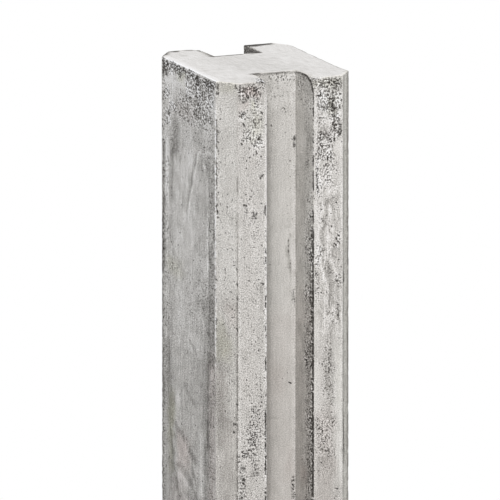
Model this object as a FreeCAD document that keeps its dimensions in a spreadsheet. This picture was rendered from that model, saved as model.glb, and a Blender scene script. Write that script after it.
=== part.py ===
# Slotted concrete fence post: one casting with an H-shaped section, standing on its foot.
# X runs across the two slotted faces, Y across the two plain faces, and Z up from the middle of the foot.
import FreeCAD
import Part
import Sketcher
import os

# Driving dimensions in millimetres, each with what it measures
dimensions = [
    ("post_length", 1800.0, "foot to top"),
    ("slotted_face", 100.0, "outside width of the faces with the slots"),
    ("plain_face", 125.0, "outside width of the faces without slots"),
    ("chamfer_across", 10.4, "what a corner chamfer takes off the slotted face"),
    ("chamfer_along", 14.0, "what a corner chamfer takes off the plain face"),
    ("slot_mouth", 34.5, "slot width at the face"),
    ("slot_floor", 31.5, "slot width at the bottom, narrower so that the mould draws out"),
    ("slot_depth", 28.0, "from the face to the slot's floor"),
    ("arris_radius", 1.5, "rounding of every outer edge"),
    ("root_radius", 2.0, "rounding of the slot floor's two inner corners"),
]

# How close two coordinates of one edge have to be, in millimetres
same_place = 1e-6

doc = FreeCAD.newDocument("fence_post")

sheet = doc.addObject("Spreadsheet::Sheet", "Sizes")
for row, (name, value, meaning) in enumerate(dimensions, start=1):
    sheet.set(f"A{row}", meaning)
    sheet.set(f"B{row}", str(value))
    sheet.setAlias(f"B{row}", name)
doc.recompute()

body = doc.addObject("PartDesign::Body", "Post")
body.Label = "concrete_post"


def draw_section():
    """The outline, counter-clockwise from the plain face at +X: each quarter mirrors the first."""
    section = body.newObject("Sketcher::SketchObject", "Section")
    ground = next(f for f in body.Origin.OriginFeatures if f.Role == "XY_Plane")
    section.AttachmentSupport = [(ground, "")]
    section.MapMode = "FlatFace"

    half_x, half_y = sheet.slotted_face / 2, sheet.plain_face / 2
    quarter = [
        (half_x, half_y - sheet.chamfer_along),
        (half_x - sheet.chamfer_across, half_y),
        (sheet.slot_mouth / 2, half_y),
        (sheet.slot_floor / 2, half_y - sheet.slot_depth),
    ]
    upper = quarter + [(-x, y) for x, y in reversed(quarter)]
    outline = upper + [(x, -y) for x, y in reversed(upper)]
    corners = [FreeCAD.Vector(x, y, 0) for x, y in outline]
    ends = corners[1:] + corners[:1]
    section.addGeometry([Part.LineSegment(a, b) for a, b in zip(corners, ends)], False)

    start, end = 1, 2
    across_line, along_line = -1, -2
    count = len(corners)
    for line in range(count):
        section.addConstraint(Sketcher.Constraint("Coincident", line, end, (line + 1) % count, start))
    for line in range(len(quarter)):
        mirrored = len(upper) - 1 - line
        section.addConstraint(Sketcher.Constraint("Symmetric", line, start, mirrored, start, along_line))
    for line in range(len(upper)):
        mirrored = count - 1 - line
        section.addConstraint(Sketcher.Constraint("Symmetric", line, start, mirrored, start, across_line))

    plain, chamfer, mouth, floor = range(len(quarter))
    section.addConstraint(Sketcher.Constraint("Horizontal", chamfer))
    measured = [
        ("slotted_face", "DistanceX", len(upper) - 1 - plain, plain),
        ("chamfer_across", "DistanceX", chamfer, plain),
        ("plain_face", "DistanceY", count - 1 - chamfer, chamfer),
        ("chamfer_along", "DistanceY", plain, chamfer),
        ("slot_mouth", "DistanceX", len(upper) - 1 - mouth, mouth),
        ("slot_floor", "DistanceX", len(upper) - 1 - floor, floor),
        ("slot_depth", "DistanceY", floor, mouth),
    ]
    for name, kind, first, second in measured:
        made = section.addConstraint(
            Sketcher.Constraint(kind, first, start, second, start, getattr(sheet, name))
        )
        section.renameConstraint(made, name)
        section.setExpression(f"Constraints.{name}", f"Sizes.{name}")
    return section


def edge_names(shape, wanted):
    return [f"Edge{i}" for i, edge in enumerate(shape.Edges, start=1) if wanted(edge)]


def is_upright(edge):
    low, high = edge.Vertexes[0].Point, edge.Vertexes[-1].Point
    return abs(low.x - high.x) < same_place and abs(low.y - high.y) < same_place


def is_slot_root(edge):
    floor_plane = sheet.plain_face / 2 - sheet.slot_depth
    place = edge.Vertexes[0].Point
    return is_upright(edge) and abs(abs(place.y) - floor_plane) < same_place


def is_outer_arris(edge):
    half_x, half_y = sheet.slotted_face / 2, sheet.plain_face / 2
    place = edge.Vertexes[0].Point
    on_face = abs(abs(place.x) - half_x) < same_place or abs(abs(place.y) - half_y) < same_place
    return is_upright(edge) and on_face


def is_rim(edge):
    return any(
        all(abs(corner.Z - level) < same_place for corner in edge.Vertexes)
        for level in (0.0, sheet.post_length)
    )


section = draw_section()

casting = body.newObject("PartDesign::Pad", "Casting")
casting.Profile = section
casting.setExpression("Length", "Sizes.post_length")
doc.recompute()

roots = body.newObject("PartDesign::Fillet", "SlotRoots")
roots.Base = (casting, edge_names(casting.Shape, is_slot_root))
roots.setExpression("Radius", "Sizes.root_radius")
doc.recompute()

arrises = body.newObject("PartDesign::Fillet", "Arrises")
arrises.Base = (roots, edge_names(roots.Shape, lambda edge: is_outer_arris(edge) or is_rim(edge)))
arrises.setExpression("Radius", "Sizes.arris_radius")
doc.recompute()

for item in doc.Objects:
    if "Invalid" in item.State or "Error" in item.State:
        raise RuntimeError(f"{item.Name} failed: {item.State}")
if body.Shape.isNull() or not body.Shape.isValid() or len(body.Shape.Solids) != 1:
    raise RuntimeError(f"{body.Label} is not one sound solid")

os.makedirs("parts", exist_ok=True)
body.Shape.exportStep(f"parts/{body.Label}.step")
box = body.Shape.BoundBox
print(f"{body.Label}: {box.XLength:.1f} x {box.YLength:.1f} x {box.ZLength:.1f} mm,", end=" ")
print(f"{body.Shape.Volume / 1e6:.3f} litres, {len(body.Shape.Faces)} faces")
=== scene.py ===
import math
from functools import partial
import bpy
import numpy as np
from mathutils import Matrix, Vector, geometry


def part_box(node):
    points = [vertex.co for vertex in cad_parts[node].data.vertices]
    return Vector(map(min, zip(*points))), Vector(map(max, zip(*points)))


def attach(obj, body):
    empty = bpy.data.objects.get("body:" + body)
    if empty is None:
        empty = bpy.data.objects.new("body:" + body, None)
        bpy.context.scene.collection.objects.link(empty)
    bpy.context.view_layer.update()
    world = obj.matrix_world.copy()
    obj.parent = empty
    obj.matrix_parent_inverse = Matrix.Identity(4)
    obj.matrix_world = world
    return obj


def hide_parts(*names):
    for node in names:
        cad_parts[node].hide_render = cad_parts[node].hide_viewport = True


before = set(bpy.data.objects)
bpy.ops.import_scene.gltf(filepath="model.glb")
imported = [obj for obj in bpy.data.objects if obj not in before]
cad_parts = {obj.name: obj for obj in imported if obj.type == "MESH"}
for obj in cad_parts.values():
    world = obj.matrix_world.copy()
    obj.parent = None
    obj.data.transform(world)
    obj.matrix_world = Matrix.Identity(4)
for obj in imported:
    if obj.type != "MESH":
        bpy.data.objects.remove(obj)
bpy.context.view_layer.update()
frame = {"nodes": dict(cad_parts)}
mm = 0.001
print("frame loaded:", ", ".join(frame["nodes"]))


def fromHex(code):
    parts = [int(code[i:i + 2], 16) / 255 for i in (1, 3, 5)]
    return [p / 12.92 if p <= 0.04045 else ((p + 0.055) / 1.055) ** 2.4 for p in parts] + [1.0]


def addNode(tree, kind, inputs=(), out=0, **settings):
    # Adds a node with its settings and links, and gives one of its outputs
    node = tree.nodes.new("ShaderNode" + kind)
    for name, value in settings.items():
        setattr(node, name, value)
    for key, value in inputs.items() if isinstance(inputs, dict) else enumerate(inputs):
        if isinstance(value, bpy.types.NodeSocket):
            tree.links.new(value, node.inputs[key])
        else:
            node.inputs[key].default_value = value
    return node.outputs[out] if node.outputs else None


# The casting, in millimetres: an H-shaped section drawn up the post, with worn edges
post = dict(
    chamferAcross=10.4, chamferAlong=14.0,   # what a chamfer takes off the slotted and the plain faces
    slotMouth=34.5, slotFloor=31.5, slotDepth=28.0,
    arrisRadius=1.0, rootRadius=0.8, rimRadius=1.0,
    fineStep=1.4, coarseStep=4.5,            # mesh spacing on the faces that the camera sees, and elsewhere
    fineLength=312.0, coarseRow=18.0,        # the close rows reach this far down from the top
    fadeLength=40.0,                         # over which the listed marks give way to patterns
    topStep=2.6, topMargin=1.6,              # points on the top, and how far they keep from its outline
    chamferMargin=1.5,                       # times as far at the chamfers
    topRimRows=3,                            # rows of the rounded rim that belong to the top
    # Closer points on the worn front left flange: from and to in X, then in Y, and their steps
    earBox=(-26.0, -17.5, -61.2, -50.0), earStep=(1.1, 2.09), earMargin=0.9,
    # The flanges' top edges are worn round beside the slots, left and right
    frontEarRadius=(6.5, 14.5), frontEarReach=(4.5, 7.0),
    backEarRadius=(8.0, 1.0), backEarReach=(2.2, 1.0),
    rightRimRadius=3.0, rightRimStart=14.0,  # the right plain face's wear grows over so far from the front
    spotDepth=0.45, chipReach=1.8,           # how far spots lie in, and how far from an arris chips reach
    endPlace=(1000.0, 2000.0),               # keeps the ends' patterns apart from the sides'
)
tiny = 1e-6  # millimetres
lowest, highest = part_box("concrete_post")
wide, deep, tall = ((high - low) / mm for low, high in zip(lowest, highest))

# Faces in order round the section, from the plain face on the left towards the front
faceNames = [
    "plainLeft", "chamferFrontLeft", "flangeFrontLeft", "slotFrontLeftWall", "slotFrontFloor",
    "slotFrontRightWall", "flangeFrontRight", "chamferFrontRight",
    "plainRight", "chamferBackRight", "flangeBackRight", "slotBackRightWall", "slotBackFloor",
    "slotBackLeftWall", "flangeBackLeft", "chamferBackLeft",
]
shownFaces = faceNames[:3] + faceNames[4:8]  # by the camera
# Patterns run wider across these faces: their coordinates there are a share of real size
patternShare = dict(plainLeft=0.6, plainRight=0.6, slotFrontRightWall=0.7, slotBackLeftWall=0.7)


def sectionCorners():
    halfX, halfY = wide / 2, deep / 2
    front = [
        (-halfX, halfY - post["chamferAlong"]),
        (-halfX, -halfY + post["chamferAlong"]),
        (-halfX + post["chamferAcross"], -halfY),
        (-post["slotMouth"] / 2, -halfY),
        (-post["slotFloor"] / 2, -halfY + post["slotDepth"]),
        (post["slotFloor"] / 2, -halfY + post["slotDepth"]),
        (post["slotMouth"] / 2, -halfY),
        (halfX - post["chamferAcross"], -halfY),
    ]
    corners = front + [(-x, -y) for x, y in front]  # the section is the same turned half round
    return [Vector(corner) for corner in corners]


def roundCorner(before, corner, after, steps):
    # Points of a rounded corner, each with its outward direction
    inward, outward = (corner - before).normalized(), (after - corner).normalized()
    turn = math.atan2(inward.cross(outward), inward.dot(outward))
    side = 1 if turn > 0 else -1
    radius = post["arrisRadius"] if turn > 0 else post["rootRadius"]
    facing = math.atan2(-inward.x, inward.y)
    start = corner - inward * radius * math.tan(abs(turn) / 2)
    centre = start - side * radius * Vector((math.cos(facing), math.sin(facing)))
    angles = [facing + turn * k / steps for k in range(steps + 1)]
    normals = [Vector((math.cos(a), math.sin(a))) for a in angles]
    return [(centre + side * radius * n, n) for n in normals]


def sectionColumns():
    # One entry for each upright line of the mesh: place, outward direction, face, distance across that face
    corners = sectionCorners()
    count, half = len(corners), 2
    neighbours = zip(corners[-1:] + corners[:-1], corners, corners[1:] + corners[:1])
    arcs = [roundCorner(before, corner, after, 2 * half) for before, corner, after in neighbours]
    columns = dict(x=[], y=[], nx=[], ny=[], face=[], across=[], width=[])
    for i, name in enumerate(faceNames):
        start, end = arcs[i], arcs[(i + 1) % count]
        step = post["fineStep"] if name in shownFaces else post["coarseStep"]
        pieces = max(2, round((end[0][0] - start[-1][0]).length / step))
        flat = [(start[-1][0].lerp(end[0][0], k / pieces), start[-1][1]) for k in range(1, pieces)]
        run = start[half:] + flat + end[:half + 1]
        across = [0.0]
        for (one, _), (two, _) in zip(run, run[1:]):
            across.append(across[-1] + (two - one).length)
        for (place, normal), distance in zip(run[:-1], across):
            columns["x"].append(place.x)
            columns["y"].append(place.y)
            columns["nx"].append(normal.x)
            columns["ny"].append(normal.y)
            columns["face"].append(i)
            columns["across"].append(distance)
            columns["width"].append(across[-1])
    columns = {key: np.array(values) for key, values in columns.items()}
    columns["round"] = np.array([columns["width"][columns["face"] == i][0] for i in range(count)])
    return columns


def postRows():
    # Distance of each row below the top, how far it is drawn in, and how much it leans at the rounded rims
    radius = post["rimRadius"]
    rim = np.radians([90.0, 67.5, 45.0, 22.5, 0.0])
    below = list(radius * (1 - np.sin(rim)))
    inset = list(radius * (1 - np.cos(rim)))
    fine = round((post["fineLength"] - radius) / post["fineStep"])
    coarse = round((tall - radius - post["fineLength"]) / post["coarseRow"])
    between = list(np.linspace(radius, post["fineLength"], fine + 1)[1:])
    between += list(np.linspace(post["fineLength"], tall - radius, coarse + 1)[1:])
    lean = list(rim) + [0.0] * len(between) + list(-rim[::-1][1:])
    below += between + [tall - b for b in below[:-1][::-1]]
    inset += [0.0] * len(between) + inset[:-1][::-1]
    return np.array(below), np.array(inset), np.array(lean)


def softNoise(across, along, seed):
    # Smooth noise from -1 to 1 on a unit grid
    size = 256
    grid = np.random.default_rng(seed).random((size, size)) * 2 - 1
    i, j = np.floor(across).astype(int), np.floor(along).astype(int)
    s, t = across - i, along - j
    s, t = s * s * (3 - 2 * s), t * t * (3 - 2 * t)
    i, j, nextI, nextJ = i % size, j % size, (i + 1) % size, (j + 1) % size
    near = grid[i, j] * (1 - s) + grid[nextI, j] * s
    far = grid[i, nextJ] * (1 - s) + grid[nextI, nextJ] * s
    return near * (1 - t) + far * t


# Weathering by face, and painted shade on the slot floor, in millimetres: across from, across to, below the
# top from, to, strength
weatherAndShade = dict(
    # How gently a patch of each layer fades out, and how far its outline wanders
    soft=dict(pitting=3.0, spot=0.9, tone=4.5, tint=9.0, flow=8.0, smoke=8.0, sound=4.0, pepper=4.0),
    ragged=dict(pitting=2.5, spot=1.0, tone=1.5, tint=3.0, flow=3.0, smoke=3.0, sound=2.0, pepper=2.5),
    raggedSize=5.0,
    # Worn skin, open to dark pits
    pitting=dict(
        plainLeft=[
            (0, 97, 0, 1800, 0.12), (0, 97, 0, 9, 1.2), (42, 94, 6, 22, 1.05), (56, 90, 9, 33, 1.0),
            (27, 82, 18, 40, 0.85), (82, 94, 16, 34, 0.6), (14, 27, 28, 37, 0.95), (3, 15, 20, 30, 1.0),
            (3, 16, 35, 46, 1.0), (17, 30, 40, 64, 0.55), (72, 97, 34, 66, 0.45), (0, 6, 10, 1800, 0.6),
            (6, 14, 45, 1800, 0.3), (7, 37, 141, 149, 0.55), (60, 82, 142, 163, 0.5),
            (44, 84, 160, 182, 0.4), (84, 96, 62, 120, 0.6), (84, 96, 116, 204, 0.62),
            (84, 96, 200, 330, 0.55), (51, 64, 226, 235, 0.45), (40, 70, 196, 240, 0.3),
            (1, 14, 56, 135, 0.55), (1, 12, 135, 240, 0.45),
        ],
        chamferFrontLeft=[
            (0, 17.4, 0, 1800, 0.06), (1, 17, 0, 3, 0.6), (9, 17, 84, 92, 0.45), (2, 5, 132, 140, 0.5),
            (13, 17.4, 122, 146, 0.45), (0.5, 2.4, 34, 104, 0.6), (5, 17, 154, 176, 0.3),
            (9, 16, 190, 240, 0.3),
        ],
        flangeFrontLeft=[
            (0, 22.4, 0, 1800, 0.14), (0.5, 13, 3.5, 12, 1.25), (1, 7, 10, 15, 1.15),
            (11, 19, 3, 10.5, 1.15), (10, 17, 9, 14.5, 1.0), (8, 22, -4, 7, 0.7), (14, 21, 6, 12, 0.6),
            (10, 18, 14, 21, 0.9), (1, 8, 19, 27, 1.1), (8, 14, 22, 37, 1.1), (13, 18, 19, 37, 0.6),
            (2, 19, 33, 41, 0.9), (12, 20, 39, 48, 0.95), (14, 19.5, 54, 60, 0.8), (5, 15, 72, 104, 0.45),
            (9, 18, 104, 162, 0.4), (5, 20, 178, 224, 0.3), (8, 19, 224, 240, 0.55),
            (4, 20, 234, 270, 0.5), (8, 15, 246, 258, 0.6), (2, 10, 259, 266, 0.6), (1, 7, 266, 300, 0.5),
            (20, 22.4, 100, 1800, 0.6),
        ],
        slotFrontLeftWall=[(0, 12, -4, 10, 0.9)],
        slotFrontFloor=[
            (9, 31.5, 0, 7, 0.7), (9, 31.5, 5, 30, 0.36), (14, 31.5, 30, 70, 0.1), (0, 13, 0, 1800, 0.1),
            (26, 31.5, 78, 90, 0.5),
        ],
        slotFrontRightWall=[
            (0, 28, 0, 1800, 0.1), (0, 15, 0, 14, 0.6), (13, 28, 0, 14, 0.35), (0, 28, 12, 26, 0.4),
            (12, 27, 30, 55, 0.4), (20, 28, 80, 112, 0.7), (14, 28, 95, 104, 0.6),
            (10, 28, 104, 330, 0.4), (15, 28, 108, 330, 0.6), (20, 28, 106, 330, 0.9),
            (14, 28, 112, 130, 0.85), (13, 28, 148, 162, 0.95), (12, 28, 186, 208, 0.95),
            (15, 28, 238, 254, 0.95), (24, 28, 106, 330, 1.1), (20, 28, 330, 1800, 0.6),
        ],
        flangeFrontRight=[
            (0, 22.4, 0, 1800, 0.1), (1, 21.5, 0, 10, 1.15), (3, 21.5, 9, 25, 1.1), (1, 12, 22, 38, 0.6),
            (11, 21.5, 23, 44, 1.05), (3, 15, 37, 60, 1.05), (2, 6, 50, 86, 0.95), (6, 17, 60, 80, 0.75),
            (2, 11, 98, 106, 0.6), (9, 15, 85, 92, 0.5), (16.5, 20.5, 110, 124, 0.95),
            (1.2, 6, 120, 137, 0.95), (1.4, 4, 137, 157, 0.8), (9, 15, 131, 142, 0.5),
            (15, 21.5, 139, 149, 0.95), (10, 20, 164, 178, 0.6), (6, 17, 188, 236, 0.55),
            (8.5, 15, 196, 220, 0.75), (2, 17, 239, 270, 0.65), (2, 20, 268, 312, 0.15),
        ],
        chamferFrontRight=[(0, 17.4, 0, 1800, 0.25)],
        plainRight=[(0, 97, 0, 10, 0.9), (22, 70, 4, 26, 0.8)],
        chamferBackRight=[(0, 17, 0, 6, 0.6)],
        flangeBackRight=[(0, 22, 0, 34, 0.8)],
        slotBackRightWall=[(0, 28, 0, 16, 0.95)],
        flangeBackLeft=[(0, 22, 0, 18, 0.9), (6, 18, 16, 46, 0.7)],
        chamferBackLeft=[(0, 17, 0, 6, 0.6)],
    ),
    # Blotches and chips with dirt in them
    spot=dict(
        plainLeft=[
            (1, 4, 0, 13, 0.85), (6, 11, 1, 13, 0.65), (18, 30, 1, 6, 0.6), (29, 42, 1, 6, 0.6),
            (48, 58, 1, 7, 0.55), (60, 68, 1, 10, 0.65), (76, 92, 1, 8, 0.65), (62, 72, 10, 26, 0.5),
            (80, 90, 10, 18, 0.35), (14, 20, 0, 5, 0.5),
        ],
        flangeFrontLeft=[
            (1.2, 3.6, 3.5, 6.5, 0.9), (7, 10, 10, 12.5, 0.7), (12, 17, 5, 10.5, 0.45),
            (11.5, 14, 9, 11.5, 0.6), (6.5, 11, 37.5, 41, 0.5), (15, 19, 41, 45, 0.45),
            (11.5, 15, 91, 95, 0.62), (12.9, 14.2, 94, 100, 0.6), (8, 18, 230, 240, 0.4),
            (7, 18, 238, 262, 0.4), (9, 14, 246, 257, 0.54), (2, 10, 259, 266, 0.5),
            (0.5, 7, 270, 300, 0.42), (10, 16, 229, 234, 0.46), (11, 16, 266, 280, 0.42),
            (4, 9, 84, 102, 0.34),
        ],
        slotFrontFloor=[
            (26.2, 27.6, 120, 142, 0.45), (29, 31, 155, 166, 0.6), (15, 20, 214, 224, 0.24),
            (28.7, 31, 288, 304, 0.6),
        ],
        slotFrontRightWall=[
            (4, 7, 23, 25, 0.5), (11, 13.5, 21.5, 24, 0.5), (15, 19, 60, 66, 0.4),
            (15, 21, 200, 207, 0.55), (21, 28, 240, 250, 0.65), (19, 28, 150, 157, 0.55),
            (20, 28, 96, 102, 0.5), (20, 28, 124, 131, 0.6),
        ],
        flangeFrontRight=[
            (18.6, 20.6, 4, 8, 0.7), (10.5, 20, 3, 7.5, 0.5), (11.5, 16.5, 15.5, 25, 0.62),
            (3.6, 6.4, 12.5, 16.5, 0.7), (13.8, 15, 26, 32, 0.6), (18.6, 19.8, 162, 172, 0.6),
            (13, 17, 35, 38.5, 0.6), (18.5, 21.5, 33, 43, 0.65), (17.5, 20, 29, 34, 0.6),
            (4.5, 7.5, 41, 51, 0.5), (10, 17, 43, 48, 0.5), (12.6, 14.2, 48, 58, 0.6),
            (1.6, 4.5, 62, 78, 0.55), (15, 16.3, 261, 271, 0.6), (2, 4.5, 240, 251, 0.5),
        ],
        chamferFrontRight=[(1, 5, 138, 148, 0.5), (1, 5, 242, 276, 0.5)],
        slotBackRightWall=[(0, 28, 0, 10, 0.65)],
    ),
    # Darker and paler runs, and painted shade on the slot floor
    tone=dict(
        plainLeft=[
            (0, 97, 40, 190, 0.04), (0, 97, 200, 1800, -0.19), (1, 12, 0, 14, -0.45),
            (3, 26, 11, 20, 0.35), (27, 42, 9, 17, 0.25), (12, 19, 23, 33, 0.3), (8, 96, 0, 6, -0.25),
            (56, 82, 4, 34, -0.15), (26, 48, 27, 36, -0.22), (40, 56, 34, 58, 0.08),
            (17, 30, 40, 66, -0.62), (57, 77, 32, 54, -0.16), (78, 96, 46, 66, -0.2),
            (14, 21, 62, 101, -0.45), (1, 6, 59, 98, -0.35), (1, 6, 96, 148, -0.6),
            (1, 6, 146, 1800, -0.2), (1, 5, 227, 244, -0.5), (6, 12, 54, 104, 0.2),
            (8, 16, 104, 300, -0.1), (15, 23, 104, 190, -0.13), (10, 16, 110, 136, -0.15),
            (10, 19, 184, 202, -0.25), (9, 17, 202, 241, -0.25), (13, 22, 234, 290, -0.2),
            (24, 33, 232, 257, 0.2), (64, 84, 60, 100, -0.18), (28, 48, 264, 292, 0.16),
            (3, 14, 4, 28, 0.14), (3, 14, 76, 112, 0.18), (3, 14, 184, 246, -0.1), (14, 22, 38, 54, 0.24),
            (78, 89, 28, 40, 0.1), (14, 25, 86, 100, 0.12), (14, 25, 158, 186, -0.1),
            (35, 68, 15, 27, -0.12), (68, 78, 3, 15, -0.34), (57, 68, 4, 15, 0.18),
            (46, 66, 280, 306, -0.14), (46, 57, 196, 220, 0.1), (78, 89, 182, 197, -0.12),
            (68, 78, 88, 100, 0.1), (68, 89, 52, 74, -0.1), (35, 46, 170, 196, -0.08),
            (66, 75, 255, 300, 0.2), (60, 82, 142, 163, -0.18), (24, 58, 56, 72, 0.1),
            (26, 48, 70, 100, 0.08), (58, 84, 94, 130, -0.12), (30, 50, 264, 300, 0.15),
            (12, 22, 292, 330, -0.15), (40, 85, 160, 184, -0.12), (57, 85, 160, 184, -0.1),
            (76, 85, 156, 262, -0.2), (70, 80, 182, 255, -0.14),
        ],
        chamferFrontLeft=[
            (0, 17.4, 0, 7, -0.12), (0, 17.4, 156, 236, -0.14), (0, 8, 196, 236, -0.15),
            (0, 9, 234, 246, -0.08), (0, 17.4, 236, 1800, -0.2), (0, 5, 172, 262, -0.15),
            (0, 12, 172, 205, -0.08), (0, 12, 236, 258, -0.1), (10, 17.4, 40, 90, 0.07),
            (12.5, 17, 158, 174, 0.15),
        ],
        flangeFrontLeft=[
            (4, 13, 4.5, 12, -0.42), (1, 5, 9.5, 14, -0.5), (12, 18, 4, 10, -0.14),
            (1, 10, 14.5, 19, 0.12), (9, 17, 25, 31, -0.35), (17, 19, 143, 161, -0.3),
            (0, 22, 160, 1800, -0.05), (7, 20, -3, 1.5, -0.4), (12, 20, 16, 52, 0.17),
            (9, 20, 100, 124, 0.1), (9, 16, 244, 258, 0.12), (16, 20, 147, 161, -0.1),
            (0, 22.4, 60, 1830, 0.05), (5, 12, 288, 312, -0.1),
        ],
        slotFrontFloor=[
            # The second and third floor patches are painted shade: the left flange's shadow across the
            # floor's left part, deepest beside the flange's edge
            (0, 31, -20, 1830, 0.16), (0, 18, -20, 1830, -0.15), (9.4, 12.4, 8, 1830, -0.18),
            (0, 31, 200, 1830, -0.05), (23, 31.5, 110, 138, 0.1), (27, 31.5, 14, 28, 0.1),
            (27, 31.5, 62, 78, 0.1),
        ],
        slotFrontRightWall=[
            (0, 28, -4, 14, -0.22), (16, 28, 100, 1800, -0.2), (19, 28, 106, 330, -0.2),
            (0, 28, 100, 1800, -0.04), (0, 28, 180, 1800, -0.13), (14, 20, 58, 68, -0.25),
            (14, 26, 28, 56, -0.12), (9, 18, 86, 124, -0.1), (18, 26, 98, 126, 0.12),
            (2, 10, 182, 197, 0.1),
        ],
        flangeFrontRight=[
            (0.5, 6, 1, 5, -0.5), (10.5, 20, 2, 7, -0.8), (11.5, 16.7, 15, 25.5, -1.0),
            (13, 16.7, 32, 38, -0.55), (17.5, 22, 30, 42.5, -0.55), (8.5, 14.5, 37, 52, -0.27),
            (3.3, 9, 36, 58, -0.3), (0.5, 3.3, 9, 50, 0.25), (6.5, 10.8, 26, 34, 0.3),
            (15, 22, 44, 60, 0.2), (9, 15, 85, 92, -0.35), (9.5, 15, 131, 142, -0.35),
            (19, 20.6, 161, 178, -0.5), (20.6, 21.8, 160, 178, 0.6), (0, 22, 62, 112, 0.1),
            (0, 22, 118, 200, -0.08), (0, 6.3, 151, 236, 0.08), (8, 15, 196, 220, -0.2),
            (2, 17, 240, 272, -0.2), (16.8, 21.5, 190, 286, 0.14), (6, 9, 110, 135, -0.1),
            (2, 17, 270, 1800, -0.16), (0, 22.4, 10, 1830, 0.025), (2.5, 6.3, 92, 120, 0.14),
            (2.5, 6.3, 176, 205, 0.08), (6.3, 15, 112, 134, 0.18), (10.8, 15.4, 176, 236, -0.2),
            (6.3, 10.8, 205, 236, -0.12), (15, 19, 72, 92, -0.15), (18, 22, 280, 1800, -0.13),
            (1, 21.5, 3, 15, -0.2), (15, 21.5, 3, 15, -0.12), (12, 16, 16, 40, 0.15),
            (12, 16, 110, 126, 0.12), (5, 16, 243, 257, 0.12), (5, 9, 206, 221, 0.1),
            (9, 13, 40, 52, 0.12), (12, 16, 88, 100, 0.12), (5, 9, 110, 136, 0.17),
            (9, 12, 206, 244, -0.24), (9, 12, 98, 113, -0.25), (9, 12, 147, 161, -0.14),
            (12, 20, 75, 88, -0.12), (5, 9, 76, 100, 0.1),
        ],
        chamferFrontRight=[(1, 5, 138, 148, -0.4), (1, 5, 242, 276, -0.4)],
        slotBackRightWall=[(0, 28, -5, 30, -0.6)],
    ),
    # Marbled skin
    flow=dict(
        plainLeft=[(0, 97, 0, 1800, 0.25)],
        flangeFrontRight=[(3, 21, 78, 185, 1.0), (3, 21, 185, 1800, 0.35)],
        chamferFrontLeft=[(0, 17, 150, 1800, 0.15)],
        chamferFrontRight=[(0, 17, 0, 1800, 0.9)],
        slotFrontFloor=[(0, 31, 0, 1800, 0.15)],
        slotFrontRightWall=[(0, 28, 0, 1800, 0.3)],
    ),
    # Smoky clouds
    smoke=dict(
        plainLeft=[(0, 97, 0, 1800, 0.5), (0, 97, 245, 1800, 0.65)],
        plainRight=[(0, 97, 0, 1800, 0.7)],
        chamferFrontLeft=[(0, 17, 150, 1800, 0.25)],
        slotFrontRightWall=[(0, 28, 0, 1800, 0.3)],
    ),
    # Sound, smooth skin
    sound=dict(
        slotFrontFloor=[(0, 31.5, -20, 1830, 0.5), (0, 31.5, 70, 1830, 0.9)],
        slotBackFloor=[(0, 31.5, -20, 1830, 0.8)],
        slotFrontRightWall=[(0, 14, 14, 1830, 0.6)],
        flangeFrontRight=[
            (16, 22, 186, 292, 0.8), (0.5, 6, 160, 236, 0.6), (2, 17, 285, 330, 0.5),
            (14, 22, 46, 62, 0.5),
        ],
        plainLeft=[(24, 60, 66, 140, 0.3), (64, 82, 66, 100, 0.5), (22, 74, 200, 255, 0.3)],
        chamferFrontLeft=[(4, 17.4, 236, 330, 0.4)],
    ),
    # Skin dotted with small single holes
    pepper=dict(
        plainLeft=[
            (0, 97, 0, 1800, 0.3), (20, 90, 40, 62, 0.6), (60, 96, 60, 200, 0.5), (0, 16, 50, 250, 0.7),
        ],
        chamferFrontLeft=[
            (0, 17.4, 0, 1800, 0.35), (0, 6, 16, 110, 0.9), (8, 17.4, 40, 52, 0.6),
            (8, 17.4, 80, 100, 0.8), (3, 17.4, 126, 180, 0.8), (8, 17.4, 190, 240, 0.6),
        ],
        flangeFrontLeft=[
            (0, 22.4, 0, 1800, 0.4), (2, 20, 12, 60, 0.9), (0, 16, 72, 104, 1.0),
            (4, 22.4, 104, 190, 0.6), (4, 22.4, 206, 300, 0.8),
        ],
        slotFrontFloor=[(24, 31.5, 0, 160, 0.7), (10, 31.5, 0, 30, 0.6)],
        slotFrontRightWall=[(0, 28, 0, 1800, 0.4), (12, 28, 90, 330, 0.8)],
        flangeFrontRight=[(0, 22.4, 0, 1800, 0.45), (0, 22.4, 56, 160, 0.6), (4, 18, 186, 270, 0.7)],
    ),
    # Tints: below zero olive, above zero mauve
    tint=dict(
        plainLeft=[
            (26, 60, 26, 38, 0.16), (26, 50, 262, 284, 0.3), (7, 37, 140, 150, -0.3),
            (12, 23, 234, 294, -0.5), (14, 48, 262, 330, 0.2), (84, 97, 196, 1800, 0.35),
            (30, 42, 4, 12, -0.35),
        ],
        chamferFrontLeft=[
            (2, 16, 0, 7, -0.25), (6, 17, 154, 176, 0.25), (0, 11, 168, 198, -0.35),
            (0, 8, 196, 236, 0.15), (0, 17, 236, 1800, 0.12),
        ],
        flangeFrontLeft=[
            (0, 22.4, -9, 1830, 0.08), (4, 13, 4.5, 11, 0.6), (12, 18, 4, 10, 0.4),
            (1, 10, 14.5, 19, 0.3), (8, 18, 20, 42, -0.35), (9, 14, 14, 19, -0.5),
        ],
        slotFrontFloor=[(0, 31, 170, 1800, 0.12), (12, 23, 208, 230, 0.12), (24, 31, 268, 290, 0.15)],
        flangeFrontRight=[
            (0, 22.4, -9, 1830, 0.08), (0, 22, 0, 8, -0.3), (10, 18, 12, 28, -0.3),
            (1, 17, 235, 1800, 0.17), (16, 22, 190, 286, -0.12),
        ],
        slotFrontRightWall=[(0, 28, 150, 1800, 0.15), (6, 18, 278, 292, 0.3)],
        chamferFrontRight=[(0, 17, 0, 1800, -0.15)],
    ),
)
layerNames = list(weatherAndShade["soft"])
addedLayers = ("tone", "tint")  # patches of these add up; elsewhere the strongest one holds

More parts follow.
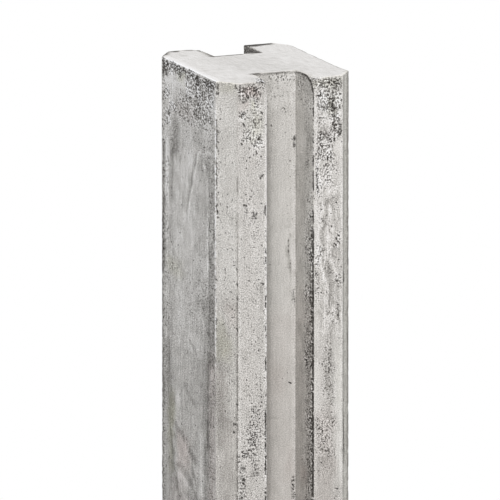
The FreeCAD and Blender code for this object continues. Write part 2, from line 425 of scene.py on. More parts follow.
# Single pits: across, below the top, radius
pits = dict(
    chamferFrontLeft=[
        (1.4, 2.6, 1.0), (1.4, 8.6, 1.0), (15, 241, 1.1), (14.6, 246.5, 1.0), (13.5, 91, 0.7),
        (12.7, 147.5, 0.7), (12.3, 117, 0.6), (1.2, 35.5, 0.9), (1.2, 43, 0.8), (1.2, 92.5, 0.9),
        (2, 96, 0.9), (15.8, 1.8, 0.9), (16.4, 3.9, 0.8),
    ],
    flangeFrontLeft=[
        (4.2, 22, 1.1), (18.3, 22.5, 1.0), (4.5, 29.5, 1.0), (14.5, 50.5, 0.9), (9.5, 53, 0.7),
        (18.2, 66.5, 1.0), (17, 68, 0.7), (5.6, 86, 0.8), (8, 88.5, 0.8), (19, 143, 1.0), (5.6, 195, 0.7),
        (1.2, 267, 0.8), (2.6, 272, 0.9), (4.8, 280, 1.1), (4, 283, 0.9), (3.4, 292, 0.9), (13, 263, 1.0),
        (3, 43, 0.8), (1.6, 1.8, 0.8), (6.8, 3.4, 0.8), (12.6, 4.0, 0.9), (14.6, 4.6, 0.8),
        (14.7, 13.5, 0.9), (13.3, 15, 0.9), (4.1, 13.6, 0.8),
    ],
    slotFrontFloor=[(13.6, 38, 0.7), (27.2, 221, 0.8)],
    flangeFrontRight=[
        (1.3, 8.5, 0.8), (19.4, 113, 0.9), (19.4, 118, 0.8), (2.7, 128, 0.8), (2.7, 139, 1.0),
        (2.8, 152, 0.8), (17.5, 145, 0.9), (20, 146, 0.8), (3.4, 78, 1.0), (3.6, 81.5, 0.8),
        (2.6, 69, 0.8), (18, 292, 0.8), (3.8, 58, 0.9), (2.6, 54, 0.8), (5, 90, 0.7),
    ],
)

# Lines along the upright edges, by the face that starts at the edge: layer, millimetres from the edge from
# and to (below zero on the face before), below the top from and to, strength, and the share that is missing
edgeLines = dict(
    plainLeft=[
        ("tone", 0.5, 4.5, 0, 110, -0.4, 0.45), ("tone", -0.6, 2.6, 110, 1800, -0.7, 0.25),
        ("spot", -0.3, 4.0, 92, 148, 0.65, 0.45), ("spot", 0.5, 4.5, 20, 92, 0.55, 0.6),
        ("spot", -0.3, 3.0, 148, 330, 0.55, 0.5),
    ],
    chamferFrontLeft=[
        ("tone", -13, -0.8, 62, 118, -0.36, 0.0), ("tone", -13, -0.8, 118, 156, -0.38, 0.0),
        ("tone", -13, -6, 118, 156, -0.14, 0.0), ("tone", -13, -0.8, 156, 204, -0.62, 0.0),
        ("tone", -7, -0.8, 200, 330, 0.12, 0.2), ("tone", -13, -0.8, 204, 330, -0.16, 0.0),
        ("tone", -16.5, -12.8, 195, 262, -0.35, 0.2), ("tone", -16.5, -13.5, 238, 262, -0.45, 0.3),
        # The pale tone lines right at the arris, from -1.8 or -0.8 mm, are partly a pale rubbed edge and
        # partly a painted highlight
        ("tone", -22, -12.8, 260, 330, -0.35, 0.0), ("tone", -1.8, 0.1, 20, 205, 0.85, 0.38),
        ("tone", -0.8, 0.4, 330, 1800, 0.5, 0.5), ("tone", -0.8, 0.4, 0, 24, 0.4, 0.6),
        ("spot", 0.0, 1.3, 26, 90, 1.0, 0.26), ("spot", 0.1, 1.7, 90, 108, 1.0, 0.65),
        ("spot", -0.5, 1.2, 108, 260, 0.75, 0.8), ("spot", 0, 2.0, 0, 11, 0.8, 0.5),
        ("spot", 0.6, 1.8, 104, 1800, 0.65, 0.88), ("spot", -1.6, 0.2, 138, 142, 0.9, 0.0),
        ("tone", -5.0, -2.6, 24, 105, -0.15, 0.3),
    ],
    flangeFrontLeft=[
        ("tone", -0.5, 0.4, 0, 150, -0.12, 0.3), ("tone", -0.5, 0.4, 66, 78, -0.45, 0.2),
        ("tone", -0.5, 0.35, 90, 102, -0.5, 0.2), ("tone", -0.5, 0.3, 150, 1800, -0.9, 0.15),
        ("tone", 0.5, 2.0, 0, 150, 0.15, 0.4), ("tone", 0.5, 1.8, 150, 1800, 0.42, 0.2),
        ("spot", -1.2, 0.4, 131, 133, 0.9, 0.0), ("spot", -1.2, 0.4, 141, 143, 1.0, 0.0),
        ("spot", -1.0, 0.4, 151, 153, 0.8, 0.0), ("spot", -1.0, 0.4, 172, 175, 0.9, 0.0),
        ("spot", -1.2, 0.4, 222, 230, 0.7, 0.4), ("spot", -1.0, 0.4, 262, 264, 0.9, 0.0),
        ("tone", -0.4, 0.3, 104, 150, -0.45, 0.2),
    ],
    slotFrontLeftWall=[
        ("tone", -2.2, -0.8, 9, 1800, 0.1, 0.35), ("tone", -0.9, 0.9, 9, 190, 0.55, 0.1),
        ("tone", -0.9, 0.9, 190, 1800, 0.4, 0.3), ("spot", -2.1, -0.4, 87, 95, 1.0, 0.1),
        ("spot", -1.5, 0, 118, 131, 0.95, 0.4), ("spot", -1.4, 0, 150, 163, 0.95, 0.4),
        ("spot", -1.4, 0, 170, 182, 0.95, 0.35), ("spot", -1.7, 0.2, 195, 206, 1.0, 0.25),
        ("spot", -2.0, 0.2, 228, 262, 1.0, 0.22), ("spot", -2.0, 0.2, 264, 278, 1.0, 0.3),
        ("spot", -1.9, 0.2, 288, 330, 1.0, 0.35), ("spot", -1.5, 0, 330, 1800, 0.9, 0.75),
    ],
    slotFrontRightWall=[
        # At the slot's inner corner: the dark strip on the wall is painted shade, and the pale strip on the
        # floor's edge is painted light
        ("tone", 0.2, 1.4, 0, 1800, -0.25, 0.1), ("tone", -2.6, 0.1, 0, 1800, 0.13, 0.2),
        ("spot", -1.7, 0.1, 46, 55, 1.0, 0.15),
    ],
    flangeFrontRight=[
        ("spot", -1.6, 0.2, 0.6, 20, 1.0, 0.0), ("spot", -2.0, 0.4, 20, 76, 0.8, 0.4),
        ("spot", -2.0, 0.4, 74, 84, 0.9, 0.3), ("spot", -2.0, 0.4, 94, 104, 1.0, 0.1),
        ("spot", -2.8, 0.55, 106, 330, 1.0, 0.16), ("spot", -6, 0, 112, 208, 0.6, 0.55),
        ("spot", -6, 0, 238, 330, 0.6, 0.55), ("spot", -2.4, 0, 330, 1800, 0.8, 0.6),
        # The pale tone strips just onto the flange are a painted highlight along the arris
        ("tone", 0.7, 2.2, 40, 160, 0.27, 0.3), ("tone", 0.7, 2.2, 160, 1800, 0.1, 0.3),
        ("tone", 0.7, 2.2, 8, 44, 0.15, 0.3),
    ],
    chamferFrontRight=[
        ("tone", 0.5, 3.0, 0, 136, -0.22, 0.15), ("tone", 0.5, 3.0, 136, 1800, -0.4, 0.15),
        # The pale line from 1.8 mm before the arris is a painted highlight over the rounded arris,
        # outweighing its own shading
        ("tone", -1.8, 0.3, 0, 1800, 0.25, 0.2), ("tone", 5, 9, 0, 1800, 0.25, 0.2),
    ],
    plainRight=[("tone", -4.5, 0, 0, 1800, -0.5, 0.15)],
)

# Single runs, scratches and cracks: points as across and below the top, width, change of tone
veins = dict(
    plainLeft=[
        ([(44, 102), (51, 85), (57, 70), (62, 58)], 2.2, -0.4),
        ([(48, 102), (57, 77), (65, 59)], 1.8, 0.3), ([(62, 57), (74, 55), (96, 52)], 1.7, 0.35),
        ([(38, 100), (42, 84)], 2.5, -0.2), ([(33, 66), (31, 88)], 3.0, -0.2),
        ([(75, 64), (77, 64.5)], 3.0, 0.5), ([(38, 46), (37, 62)], 3.0, -0.2),
        ([(51, 193), (57, 196), (62, 200)], 2.2, -0.3),
        ([(26, 257), (40, 264), (53, 273), (61, 276)], 4.0, -0.36), ([(26, 281), (30, 281)], 2.2, 0.3),
        ([(30, 283), (48, 290), (62, 301), (70, 312)], 4.6, -0.3),
        ([(19, 284), (26, 299), (33, 312)], 4.4, -0.27), ([(34, 302), (48, 309)], 1.8, 0.25),
        ([(50, 286), (60, 297)], 3.0, 0.15), ([(53, 277), (60, 290)], 2.0, -0.3),
        ([(16, 262), (22, 284)], 2.2, -0.3), ([(42, 226), (52, 232), (60, 236)], 3.0, -0.25),
        ([(82.5, 97), (82.3, 139)], 1.5, 0.4),
    ],
    flangeFrontRight=[
        ([(10.8, 82.4), (18.2, 78.8)], 1.1, 0.6), ([(12.5, 85), (18.6, 81.5)], 1.0, 0.5),
        ([(5, 128), (8.5, 143.5)], 1.4, 0.6), ([(9.5, 87), (9, 97), (7, 110), (6.6, 134)], 1.8, -0.3),
        ([(12.5, 92), (10.4, 112), (11, 124)], 1.8, 0.35),
        ([(15, 92), (16.5, 108), (15.6, 128)], 1.8, -0.25), ([(13.6, 130), (15.8, 138)], 1.4, 0.5),
        ([(9, 148), (9.5, 164), (8, 182)], 1.8, 0.3), ([(12, 144), (12.5, 158)], 1.8, -0.25),
        ([(4, 106), (3, 124)], 2.0, 0.2),
    ],
    slotFrontFloor=[
        ([(27.6, 116), (26.6, 128), (26.8, 136), (28, 145)], 0.9, -0.42),
        ([(25.4, 124), (25.8, 140)], 0.8, -0.3), ([(11, 245), (18, 245)], 0.9, -0.15),
        ([(23.5, 110), (28, 109)], 0.9, -0.25),
    ],
    slotFrontRightWall=[([(17, 34), (19, 46), (17, 56)], 2.4, -0.25), ([(22, 36), (24, 52)], 2.4, -0.2)],
    # The top, in plan: X and Y
    top=[
        ([(-8, 18), (6, -24)], 30, -0.12), ([(-50, 48.5), (-39.6, 62.5), (-34, 62.5)], 2.4, -1.6),
        ([(-34, 62.5), (-25, 62.5)], 1.6, -0.6), ([(-25, 62.5), (-17.3, 62.5), (-15.8, 34.5)], 2.4, -1.2),
        ([(-15.8, 34.5), (-6, 34.5)], 2.4, -1.2), ([(-6, 34.5), (4, 34.5)], 2.8, -1.7),
        ([(4, 34.5), (15.8, 34.5)], 2.4, -0.5), ([(17.3, 62.5), (34, 62.5)], 6.5, -1.7),
        ([(49, 47), (49, -34)], 1.7, -0.75), ([(49, -34), (49, -47)], 1.4, -0.3),
        ([(13.5, 36), (16, 33.5)], 1.6, -1.4), ([(17, 37), (19, 33)], 1.3, -1.0),
        ([(10, 33), (12.5, 31)], 1.3, -0.6), ([(-15.8, -34.5), (-12, -34.5)], 3.0, -0.9),
        ([(-49.5, 46), (-49.5, -48)], 5.0, 0.35),
        # Faint marks on the flat
        ([(-37, 45), (-33, 43.3)], 2.2, -0.2), ([(-19.2, 2.8), (-14.4, 0.8)], 2.2, -0.2),
        ([(-46, -8.8), (-41.8, -10.6)], 2.0, -0.15), ([(-32, -10), (-30, -11)], 2.0, -0.2),
        ([(-37, -43.7), (-32, -45.7)], 2.2, -0.18), ([(-17, -18.8), (-14, -20)], 2.2, -0.2),
        ([(17.3, 11), (21.6, 9)], 2.2, -0.2), ([(23, -8.8), (25.6, -10)], 1.8, -0.2),
        ([(6, -6.4), (8.5, -7.5)], 2.0, -0.2),
    ],
)

# Black marks along the top's far edges, in plan: course, width
topBlackMarks = [
    ([(17.3, 62.5), (25, 62.5)], 11.0), ([(25, 62.5), (34, 62.5)], 6.5), ([(-5, 34.5), (3, 34.5)], 1.6),
    ([(17.6, 48), (17.2, 41)], 1.3), ([(16.8, 39), (16.4, 34.5)], 1.3), ([(20, 40), (20, 37)], 1.0),
    ([(-48.5, 51), (-42, 60)], 1.3), ([(-19, 62), (-16.6, 50)], 1.2), ([(13.5, 36), (15.5, 34)], 1.2),
    ([(-15.8, -34.5), (-12.5, -34.5)], 1.8), ([(-19.4, -57.6), (-18.4, -55.2)], 1.1),
    ([(-19.4, -62), (-18.8, -60.2)], 1.1), ([(-24.6, -61.2), (-24, -59.6)], 1.0),
    ([(-21.8, -61.6), (-21, -59.6)], 1.1), ([(-18, -54), (-17.6, -52)], 1.0),
    ([(-22.4, -58), (-21.6, -56)], 0.9),
]

# Worn skin on the top, as courses in plan with their width
topWorn = [([(-19.5, -62), (-19, -52)], 8.0)]

# Change of tone along the rounded edge of the top, and dirt along it
rimLines = dict(
    plainLeft=0.5, flangeFrontLeft=-0.1, slotFrontFloor=-1.0, slotFrontRightWall=-0.9,
    flangeFrontRight=-0.2, plainRight=-0.5, flangeBackRight=-1.1, slotBackFloor=-1.0,
    slotBackLeftWall=-1.0, flangeBackLeft=-0.9, chamferBackLeft=-1.1,
)
rimDirt = dict(slotFrontRightWall=0.8)

# How the marks are drawn, in millimetres
marks = dict(
    pitEdge=1.6, courseEdge=1.3,              # over 1, so that the middle of a mark has its full strength
    rimReach=1.3,                             # times the rim's radius
    rimMean=0.8, rimSwing=0.5, rimSize=7.0,   # strength along the rim, and the size of its swings
    lineSize=1.4, lineContrast=2.0,           # size of the gaps in a line, and how sharply they begin
    lineEnd=3.0, lineSide=0.4,                # how gently a line fades out
    linesPerFace=20,                          # rows of noise kept for the lines of one face
    wander=2.0, wanderSize=6.0,               # how far the runs on the top stray
    sunkFrom=0.4, sunkOver=1.4, sunkWear=0.95,   # worn skin where the top's edge has sunk
    seeds=dict(wander=6, sway=100, drop=200, line=300, rim=400),
)


def ramp(value, low, high, soft):
    # 1 between two values, falling smoothly to 0 outside them
    soft = min(soft, (high - low) / 2)
    rise = np.clip((value - low + soft) / (2 * soft), 0, 1)
    fall = np.clip((high + soft - value) / (2 * soft), 0, 1)
    both = rise * fall
    return both * both * (3 - 2 * both)


def nearCourse(across, down, course, width):
    # 1 along a course of points, falling to 0 at its width
    nearest = np.full_like(across, np.inf)
    for (a, b), (c, d) in zip(course, course[1:]):
        share = ((across - a) * (c - a) + (down - b) * (d - b)) / ((c - a) ** 2 + (d - b) ** 2)
        share = np.clip(share, 0, 1)
        nearest = np.minimum(nearest, np.hypot(across - a - share * (c - a), down - b - share * (d - b)))
    return np.clip(marks["courseEdge"] * (1 - nearest / width), 0, 1)


def merged(name, layer, mark):
    return layer + mark if name in addedLayers else np.maximum(layer, mark)


def paintWeatherAndLight(columns, below):
    # Each layer as one number for each point of the sides
    layers = {name: np.zeros((len(below), len(columns["x"]))) for name in layerNames}
    size, soft, seeds = weatherAndShade["raggedSize"], weatherAndShade["soft"], marks["seeds"]
    for i, face in enumerate(faceNames):
        here = columns["face"] == i
        across, down = np.meshgrid(columns["across"][here], below)
        fromEdge = np.minimum(across, columns["width"][here][0] - across)
        still = np.minimum(1, fromEdge / size)  # marks stay straight along the edges
        sway = still * softNoise(across / size, down / size, seeds["sway"] + i)
        drop = softNoise(across / size, down / size, seeds["drop"] + i)
        for name in layerNames:
            layer = layers[name][:, here]
            ragged, fallen = across + weatherAndShade["ragged"][name] * sway, down + weatherAndShade["ragged"][name] * drop
            for low, high, start, end, strength in weatherAndShade[name].get(face, []):
                patch = ramp(ragged, low, high, soft[name]) * ramp(fallen, start, end, soft[name])
                layer = merged(name, layer, strength * patch)
            layers[name][:, here] = layer

        tone, spot = layers["tone"][:, here], layers["spot"][:, here]
        for course, width, strength in veins.get(face, []):
            tone = tone + strength * nearCourse(across + sway, down + drop, course, width)
        for a, b, radius in pits.get(face, []):
            pit = np.clip(marks["pitEdge"] - np.hypot(across - a, down - b) / radius, 0, 1)
            spot = np.maximum(spot, pit)
        onRim = (down > 0) & (down < marks["rimReach"] * post["rimRadius"])  # not the flat's own outline
        swing = softNoise(across / marks["rimSize"], np.full_like(down, i), seeds["rim"])
        rim = onRim * (marks["rimMean"] + marks["rimSwing"] * swing)
        layers["tone"][:, here] = tone + rimLines.get(face, 0) * rim
        layers["spot"][:, here] = np.maximum(spot, rimDirt.get(face, 0) * rim)

    # The lines along the edges; those that run the whole length are alike on the faces turned half round
    faces = len(faceNames)
    for face, lines in edgeLines.items():
        named = faceNames.index(face)
        for i in (named, (named + faces // 2) % faces):
            after, before = columns["face"] == i, columns["face"] == (i - 1) % faces
            offset = np.where(before, columns["across"] - columns["width"], np.inf)
            offset = np.where(after, columns["across"], offset)
            for k, (name, low, high, start, end, strength, missing) in enumerate(lines):
                if i != named and end < tall:
                    continue
                row = np.full_like(below, marks["linesPerFace"] * i + k)
                kept = softNoise(below / marks["lineSize"], row, seeds["line"]) - (2 * missing - 1)
                kept = np.clip(0.5 + marks["lineContrast"] * kept, 0, 1)
                along = ramp(below, start, end, marks["lineEnd"]) * kept
                line = strength * np.outer(along, ramp(offset, low, high, marks["lineSide"]))
                layers[name] = merged(name, layers[name], line)
    return layers


def inSection(x, y, margin):
    # True where a point of the top lies inside the outline by a margin, which is wider at the chamfers
    x, y = abs(x), abs(y)
    slope = post["chamferAcross"] / post["chamferAlong"]
    corner = (wide / 2 - x) + slope * (deep / 2 - y) - post["chamferAcross"]
    inSlot = x < post["slotMouth"] / 2 + margin and y > deep / 2 - post["slotDepth"] - margin
    inBox = x < wide / 2 - margin and y < deep / 2 - margin
    return inBox and corner > post["chamferMargin"] * margin and not inSlot


def wearTop(points):
    # Wears the square top edges round, each from its own face inwards
    rim = post["rimRadius"]
    left, flange = points[:, 0] < 0, np.abs(points[:, 0]) > post["slotFloor"] / 2 - rim
    fromSlot = np.maximum(0, np.abs(points[:, 0]) - post["slotMouth"] / 2)
    fromFront = np.clip((points[:, 1] + deep / 2 - post["chamferAlong"]) / post["rightRimStart"], 0, 1)
    worn = [(0, 1, rim + (post["rightRimRadius"] - rim) * fromFront)]
    for end, side in (("front", -1), ("back", 1)):
        largest, reach = (np.where(left, *post[end + key]) for key in ("EarRadius", "EarReach"))
        worn.append((1, side, flange * (rim + (largest - rim) * np.exp(-fromSlot / reach))))
    for axis, side, radius in worn:
        back = radius - ((wide, deep)[axis] / 2 - side * points[:, axis])
        down = radius - (tall - points[:, 2])
        square, circle = np.maximum(back, down), np.hypot(back, down)
        share = np.where((back > 0) & (down > 0), 1 - square / np.maximum(circle, tiny), 0)
        points[:, axis] -= side * back * share
        points[:, 2] -= down * share


# Unevenness of the faces: depth in millimetres, level of noise where it sets in, size across, along, seed
relief = dict(
    broad=(0.1, -1.0, 60.0, 150.0, 1), fine=(0.04, -1.0, 4.0, 6.0, 2), worn=(0.35, 0.0, 2.2, 2.2, 3),
    chip=(0.35, 0.2, 30.0, 3.2, 4), top=(0.12, -1.0, 14.0, 14.0, 5),
)


def sunken(name, across, along):
    depth, start, sizeAcross, sizeAlong, seed = relief[name]
    return depth * np.maximum(0, softNoise(across / sizeAcross, along / sizeAlong, seed) - start)


def buildPost():
    columns = sectionColumns()
    below, inset, lean = postRows()
    layers = paintWeatherAndLight(columns, below)
    rows, count = len(below), len(columns["x"])
    scale = np.array([patternShare.get(name, 1.0) for name in faceNames])
    starts = np.concatenate([[0], np.cumsum(columns["round"] * scale)])
    around = starts[columns["face"]] + columns["across"] * scale[columns["face"]]
    across, down = np.meshgrid(around, below)

    # How deep each point lies under the flat face
    depth = sunken("broad", across, down) + sunken("fine", across, down)
    depth += layers["pitting"] * sunken("worn", across, down) + layers["spot"] * post["spotDepth"]
    edge = np.minimum(columns["across"], columns["width"] - columns["across"])
    depth += sunken("chip", across, down) * np.clip(1 - edge / post["chipReach"], 0, 1)
    out = np.cos(lean)[:, None]
    x = columns["x"] - columns["nx"] * (inset[:, None] + depth * out)
    y = columns["y"] - columns["ny"] * (inset[:, None] + depth * out)
    z = (tall - below)[:, None] - depth * np.sin(lean)[:, None]
    sides = np.stack([x, y, z], axis=-1).reshape(-1, 3)

    # The two ends: the top has points inside its outline, the foot only its outline
    ring = [Vector((a, b)) for a, b in zip(x[0], y[0])]
    steps = int(max(wide, deep) / 2 / post["topStep"])
    spread = [k * post["topStep"] for k in range(-steps, steps + 1)]
    ring += [Vector((a, b)) for a in spread for b in spread if inSection(a, b, post["topMargin"])]
    left, right, front, back = post["earBox"]
    closeX, closeY = (np.arange(*span) for span in zip((left, front), (right, back), post["earStep"]))
    ring += [Vector((a, b)) for a in closeX for b in closeY if inSection(a, b, post["earMargin"])]
    onlyInside = 1
    triangulated = geometry.delaunay_2d_cdt(ring, [], [list(range(count))], onlyInside, tiny)
    topFaces, sources = triangulated[2:4]
    topFaces = [[sources[v][0] for v in face] for face in topFaces]
    inner = np.array([(p.x, p.y) for p in ring[count:]])
    rise = z[0].mean() - sunken("top", inner[:, 0], inner[:, 1])
    points = np.concatenate([sides, np.column_stack([inner, rise])])

    # Marks on the top, and on as much of its rounded rim as belongs to it
    layers = {name: np.concatenate([layers[name].ravel(), np.zeros(len(inner))]) for name in layerNames}
    onTop = np.zeros(len(points))
    onTop[:count * post["topRimRows"]] = 1
    onTop[rows * count:] = 1
    flat = np.flatnonzero(onTop)
    planX, planY = points[flat, 0], points[flat, 1]
    size = marks["wanderSize"]
    wander = marks["wander"] * softNoise(planX / size, planY / size, marks["seeds"]["wander"])
    for course, width, strength in veins["top"]:
        layers["tone"][flat] += strength * nearCourse(planX, planY + wander, course, width)
    for course, width in topBlackMarks:
        layers["spot"][flat] = np.maximum(layers["spot"][flat], nearCourse(planX, planY, course, width))
    wearTop(points)
    sunk = np.clip((tall - points[flat, 2] - marks["sunkFrom"]) / marks["sunkOver"], 0, 1)
    for course, width in topWorn:
        sunk = np.maximum(sunk, nearCourse(planX, planY, course, width))
    layers["pitting"][flat] = np.maximum(layers["pitting"][flat], marks["sunkWear"] * sunk)
    onTop[flat] = 1 - sunk

    quads = []
    for r in range(rows - 1):
        for c in range(count):
            n = (c + 1) % count
            quads.append((r * count + c, (r + 1) * count + c, (r + 1) * count + n, r * count + n))
    inside = rows * count - count
    caps = [tuple(v if v < count else v + inside for v in face) for face in topFaces]
    foot = [tuple((rows - 1) * count + c for c in reversed(range(count)))]
    mesh = bpy.data.meshes.new("castPost")
    mesh.from_pydata((points * mm).tolist(), [], quads + caps + foot)
    mesh.shade_smooth()

    # Coordinates for the patterns, in metres: round the section and up the post, or flat across an end
    corners = np.array([loop.vertex_index for loop in mesh.loops])
    sideLoops = len(quads) * 4
    col, row = corners % count, np.minimum(corners // count, rows - 1)
    u = np.where(corners < rows * count, around[col], 0)
    lastColumn = np.repeat(np.tile(np.arange(count) == count - 1, rows - 1), 4)
    u[:sideLoops] += starts[-1] * (lastColumn & (col[:sideLoops] == 0))
    v = tall - below[row]
    for axis, values in enumerate((u, v)):
        values[sideLoops:] = post["endPlace"][axis] + points[corners[sideLoops:], axis]
    places = mesh.uv_layers.new(name="castFaces")
    places.data.foreach_set("uv", (np.column_stack([u, v]) * mm).astype(np.float32).ravel())

    # What the material reads at each point: the layers, the top, the cooler plain faces and top, and the
    # stretches with no marks of their own
    cool = np.isin(columns["face"], [faceNames.index(name) for name in ("plainLeft", "plainRight")])
    shown = np.isin(columns["face"], [faceNames.index(name) for name in shownFaces])
    fade = post["fadeLength"]
    fading = np.clip((below - post["fineLength"] + fade / 2) / fade, 0, 1)
    unmarked = np.where(shown, fading[:, None], 1.0)
    layers["topFace"] = onTop
    layers["cool"] = np.concatenate([np.tile(cool, rows), np.ones(len(inner))])
    layers["elsewhere"] = np.concatenate([unmarked.ravel(), np.zeros(len(inner))])
    for name, values in layers.items():
        mesh.attributes.new(name, "FLOAT", "POINT").data.foreach_set("value", values.astype(np.float32))
    piece = bpy.data.objects.new("cast_post", mesh)
    bpy.context.scene.collection.objects.link(piece)
    triangles = 2 * len(quads) + sum(len(face) - 2 for face in caps) + count - 2
    print("post:", len(points), "points,", triangles, "triangles")
    return piece, list(layers)


# Cast concrete struck from a steel mould and left outdoors: a matt, pale grey cement skin with runs down
# it, worn through in patches to dark pits
concrete = dict(
    toneStops=[
        (0.0, "#605D59"), (0.25, "#928F8B"), (0.5, "#C5C2BD"),
        (0.625, "#DBD8D4"), (0.75, "#EFECE9"), (1.0, "#FFFFFF"),
    ],
    oliveTint="#D6D7B9", mauveTint="#DCCBC7", coolTint="#F7F8FA",
    topTone=0.33, topCalm=0.7, soundCalm=0.6,   # the trowelled top is paler; it and sound skin are evener
    trowelAngle=-22.9,                          # degrees
    # The patterns: size across in mm, stretch along the post, octaves, their roughness, distortion
    patterns=dict(
        cloud=(26.0, 1, 4, 0.6, 0), smoke=(17.0, 1.1, 6, 0.65, 1.2), marble=(6.0, 2.6, 4, 0.6, 2.2),
        streak=(4.0, 25, 3, 0.6, 0), fineStreak=(1.2, 12, 2, 0.6, 0), grain=(0.65, 1, 2, 0.7, 0),
        speck=(1.3, 1.1, 3, 0.65, 0), cluster=(5.0, 1.3, 3, 0.6, 0.6), dirt=(3.0, 1, 2, 0.5, 0),
        pepper=(1.85, 1, 0, 0.5, 0), trowel=(8.0, 0.16, 4, 0.65, 0),
        wornArea=(60.0, 2.4, 4, 0.55, 0.8), stain=(16.0, 7, 4, 0.6, 0.6),
    ),
    # How far each pattern swings the tone, by the layer that lets it in
    swings=dict(
        calm=dict(cloud=0.4, grain=3.5, fineStreak=0.4), flow=dict(marble=1.5, streak=0.5, fineStreak=0.5),
        smoke=dict(smoke=1.3, fineStreak=0.7), topFace=dict(trowel=0.85, fineStreak=0.3),
        elsewhere=dict(stain=0.7),
    ),
    areaRange=(0.5, 0.7), areaWear=(0.12, 0.85),   # wear in stretches with no marks of their own
    speckShare=0.8, clusterShare=0.3, wearMiddle=0.57, wornContrast=4.4, wornPaleness=0.2,
    # Pits and holes: the level at which they open, the width of their edge, and how layers shift the level
    openings=dict(
        pit=(0.725, 0.03, dict(pitting=-0.18, topFace=0.15, sound=0.05)),
        hole=(0.865, 0.04, dict(pepper=-0.1, topFace=0.1, sound=0.06)),
    ),
    spotSwing=1.8, spotRange=(0.42, 0.6),
    # What fills them: the least share of dirt, and its colour
    filling=dict(pit=(0.5, "#45413C"), spot=(0.7, "#332F2B"), hole=(0.7, "#332F2B")),
    dirtRange=(0.35, 0.65),
    grainRange=(0.3, 0.7), grainHeight=0.4, bumpHeight=0.4, bumpStrength=0.7,   # bumps in mm
    roughness=(0.82, 0.95), refraction=1.5, gloss=0.3,
)


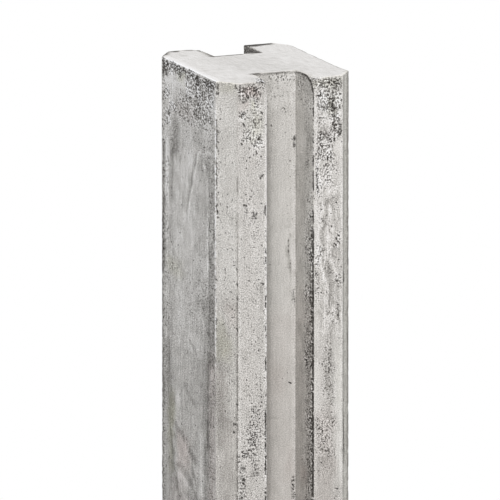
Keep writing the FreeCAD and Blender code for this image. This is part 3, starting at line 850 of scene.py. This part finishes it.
def weatheredCastConcrete(painted):
    material = bpy.data.materials.new("weatheredCastConcrete")
    material.use_nodes = True
    tree = material.node_tree
    tree.nodes.clear()
    add = partial(addNode, tree)
    place = add("UVMap", uv_map="castFaces")
    layer = {name: add("Attribute", out="Fac", attribute_name=name) for name in painted}
    calm = add("Math", [layer["sound"], -concrete["soundCalm"], 1.0], operation="MULTIPLY_ADD")
    layer["calm"] = add("Math", [layer["topFace"], -concrete["topCalm"], calm], operation="MULTIPLY_ADD")

    pattern = {}
    for name, (width, stretch, octaves, rough, swirl) in concrete["patterns"].items():
        turn = math.radians(concrete["trowelAngle"]) if name == "trowel" else 0.0
        settings = {"Vector": place, "Rotation": (0, 0, turn), "Scale": (1.0, stretch, 1.0)}
        shape = add("Mapping", settings, vector_type="TEXTURE")
        settings = {"Vector": shape, "Scale": 1 / (width * mm), "Detail": octaves, "Roughness": rough}
        pattern[name] = add("TexNoise", {**settings, "Distortion": swirl}, noise_dimensions="2D")

    # Stretches without marks of their own are worn in broad areas
    (start, end), (least, most) = concrete["areaRange"], concrete["areaWear"]
    area = add("MapRange", {0: pattern["wornArea"], 1: start, 2: end, 3: least, 4: most})
    area = add("Math", [area, layer["elsewhere"]], operation="MULTIPLY")
    layer["pitting"] = add("Math", [area, layer["pitting"]], operation="MAXIMUM")

    # Wear: specks gather in clusters, and the skin between them is paler
    gather = add("Math", [pattern["cluster"], concrete["clusterShare"]], operation="MULTIPLY")
    wear = add("Math", [pattern["speck"], concrete["speckShare"], gather], operation="MULTIPLY_ADD")
    worn = add("Math", [concrete["wearMiddle"], wear], operation="SUBTRACT")
    worn = add("Math", [worn, concrete["wornContrast"], concrete["wornPaleness"]], operation="MULTIPLY_ADD")

    # Tone: the listed runs, then the patterns
    # The tone layer also holds painted shade and painted highlights along some edges and on the slot floor
    tone = add("Math", [layer["topFace"], concrete["topTone"], layer["tone"]], operation="MULTIPLY_ADD")
    worn = add("Math", [worn, layer["pitting"]], operation="MULTIPLY")
    tone = add("Math", [worn, layer["pitting"], tone], operation="MULTIPLY_ADD")
    for where, shares in concrete["swings"].items():
        for name, share in shares.items():
            swing = add("Math", [pattern[name], share, -share / 2], operation="MULTIPLY_ADD")
            tone = add("Math", [swing, layer[where], tone], operation="MULTIPLY_ADD")
    colour = add("ValToRGB", [add("Math", [tone, 0.5, 0.5], operation="MULTIPLY_ADD")])  # from -1 to 1
    stops = colour.node.color_ramp.elements
    while len(stops) < len(concrete["toneStops"]):
        stops.new(0.5)
    for stop, (position, code) in zip(stops, concrete["toneStops"]):
        stop.position = position
        stop.color = fromHex(code)

    # Tints multiply the colour
    olive = add("Math", [layer["tint"], -1.0], operation="MULTIPLY", use_clamp=True)
    mauve = add("Math", [layer["tint"], 1.0], operation="MULTIPLY", use_clamp=True)
    for share, tint in ((layer["cool"], "coolTint"), (olive, "oliveTint"), (mauve, "mauveTint")):
        inputs = {0: share, 6: colour, 7: fromHex(concrete[tint])}
        colour = add("Mix", inputs, out=2, data_type="RGBA", blend_type="MULTIPLY")

    # Pits open in worn skin and holes in peppered skin, where their pattern passes a level; spots open
    # where they are placed
    source, mask = dict(pit=wear, hole=pattern["pepper"]), {}
    for name, (level, edge, shifts) in concrete["openings"].items():
        for where, shift in shifts.items():
            level = add("Math", [layer[where], shift, level], operation="MULTIPLY_ADD")
        over = add("Math", [source[name], level], operation="SUBTRACT")
        mask[name] = add("MapRange", {0: over, 2: edge})
    swing = concrete["spotSwing"]
    level = add("Math", [pattern["speck"], swing, -swing / 2], operation="MULTIPLY_ADD")
    level = add("Math", [level, layer["spot"]], operation="ADD")
    start, end = concrete["spotRange"]
    mask["spot"] = add("MapRange", {0: level, 1: start, 2: end})

    start, end = concrete["dirtRange"]
    sunk = 0.0
    for name, (least, code) in concrete["filling"].items():
        filth = add("MapRange", {0: pattern["dirt"], 1: start, 2: end, 3: least, 4: 1.0})
        filth = add("Math", [mask[name], filth], operation="MULTIPLY")
        colour = add("Mix", {0: filth, 6: colour, 7: fromHex(code)}, out=2, data_type="RGBA")
        sunk = add("Math", [mask[name], sunk], operation="MAXIMUM")

    # Grain and openings give the light something to catch on
    height = add("Math", [pattern["grain"], concrete["grainHeight"]], operation="MULTIPLY")
    height = add("Math", [height, sunk], operation="SUBTRACT")
    settings = {"Distance": concrete["bumpHeight"] * mm, "Strength": concrete["bumpStrength"]}
    bump = add("Bump", {"Height": height, **settings})
    (start, end), (low, high) = concrete["grainRange"], concrete["roughness"]
    rough = add("MapRange", {0: pattern["grain"], 1: start, 2: end, 3: low, 4: high})
    settings = {"IOR": concrete["refraction"], "Specular IOR Level": concrete["gloss"]}
    inputs = {"Base Color": colour, "Roughness": rough, "Normal": bump, **settings}
    add("OutputMaterial", {"Surface": add("BsdfPrincipled", inputs)})
    return material


castPost, paintedLayers = buildPost()
castPost.data.materials.append(weatheredCastConcrete(paintedLayers))
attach(castPost, "root")
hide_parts("concrete_post")
print("concrete material applied")

# The room: a pale floor, a soft key light from the left of the slotted face, even light all round
room = dict(
    floorRadius=3.0, floorSides=96, floorColour="#F2F2F1", floorRoughness=0.9,
    keyAzimuth=-25.0, keyElevation=50.0, keySize=12.0,    # degrees
    keyStrength=2.1, ambient=0.55,                        # W/m2, and the share of white
)


def buildRoom():
    scene = bpy.context.scene
    scene.view_settings.view_transform = "Standard"
    bpy.ops.mesh.primitive_circle_add(
        vertices=room["floorSides"], radius=room["floorRadius"], fill_type="NGON"
    )
    floor = bpy.context.object
    floor.name = "floor"
    paint = bpy.data.materials.new("mattWhitePaint")
    paint.use_nodes = True
    shader = paint.node_tree.nodes["Principled BSDF"]
    shader.inputs["Base Color"].default_value = fromHex(room["floorColour"])
    shader.inputs["Roughness"].default_value = room["floorRoughness"]
    floor.data.materials.append(paint)

    lamp = bpy.data.lights.new("key", "SUN")
    lamp.energy = room["keyStrength"]
    lamp.angle = math.radians(room["keySize"])
    key = bpy.data.objects.new("key", lamp)
    key.rotation_euler = (math.radians(90 - room["keyElevation"]), 0, math.radians(room["keyAzimuth"]))
    scene.collection.objects.link(key)

    world = bpy.data.worlds.new("evenLight")
    world.use_nodes = True
    scene.world = world
    tree = world.node_tree
    tree.nodes.clear()
    add = partial(addNode, tree)
    path = add("LightPath").node.outputs
    seen = add("Math", [path["Is Camera Ray"], path["Is Glossy Ray"]], operation="MAXIMUM")
    seen = add("Math", [seen, path["Is Transmission Ray"]], operation="MAXIMUM")
    strength = add("MapRange", {0: seen, 3: room["ambient"], 4: 1.0})
    add("OutputWorld", {"Surface": add("Background", {"Color": (1, 1, 1, 1), "Strength": strength})})
    print("room lit")


buildRoom()

# The camera: a long lens at the photograph's angle
view = dict(
    azimuth=-22.908, elevation=11.763, distance=16.0,     # degrees, degrees, metres
    frameSide=500, pixelsPerMm=1.4429,                    # the frame, and how large the post shows in it
    topCentreX=255.1, topCentreY=62.95,                   # where the middle of the top lies in the frame
    sensorWidth=36.0,                                     # mm
)


def placeCamera():
    turn, rise = math.radians(view["azimuth"]), math.radians(view["elevation"])
    back = Vector((math.sin(turn) * math.cos(rise), -math.cos(turn) * math.cos(rise), math.sin(rise)))
    right = Vector((math.cos(turn), math.sin(turn), 0))
    up = back.cross(right)
    middle = view["frameSide"] / 2
    aim = Vector((0, 0, highest.z))
    aim -= right * (view["topCentreX"] - middle) / view["pixelsPerMm"] * mm
    aim += up * (view["topCentreY"] - middle) / view["pixelsPerMm"] * mm
    lens = bpy.data.cameras.new("camera")
    lens.sensor_width = view["sensorWidth"]
    lens.lens = lens.sensor_width * view["pixelsPerMm"] * view["distance"] / mm / view["frameSide"]
    camera = bpy.data.objects.new("camera", lens)
    camera.location = aim + back * view["distance"]
    camera.rotation_euler = back.to_track_quat("Z", "Y").to_euler()
    bpy.context.scene.collection.objects.link(camera)
    bpy.context.scene.camera = camera
    print("camera placed, lens", round(lens.lens), "mm")


placeCamera()
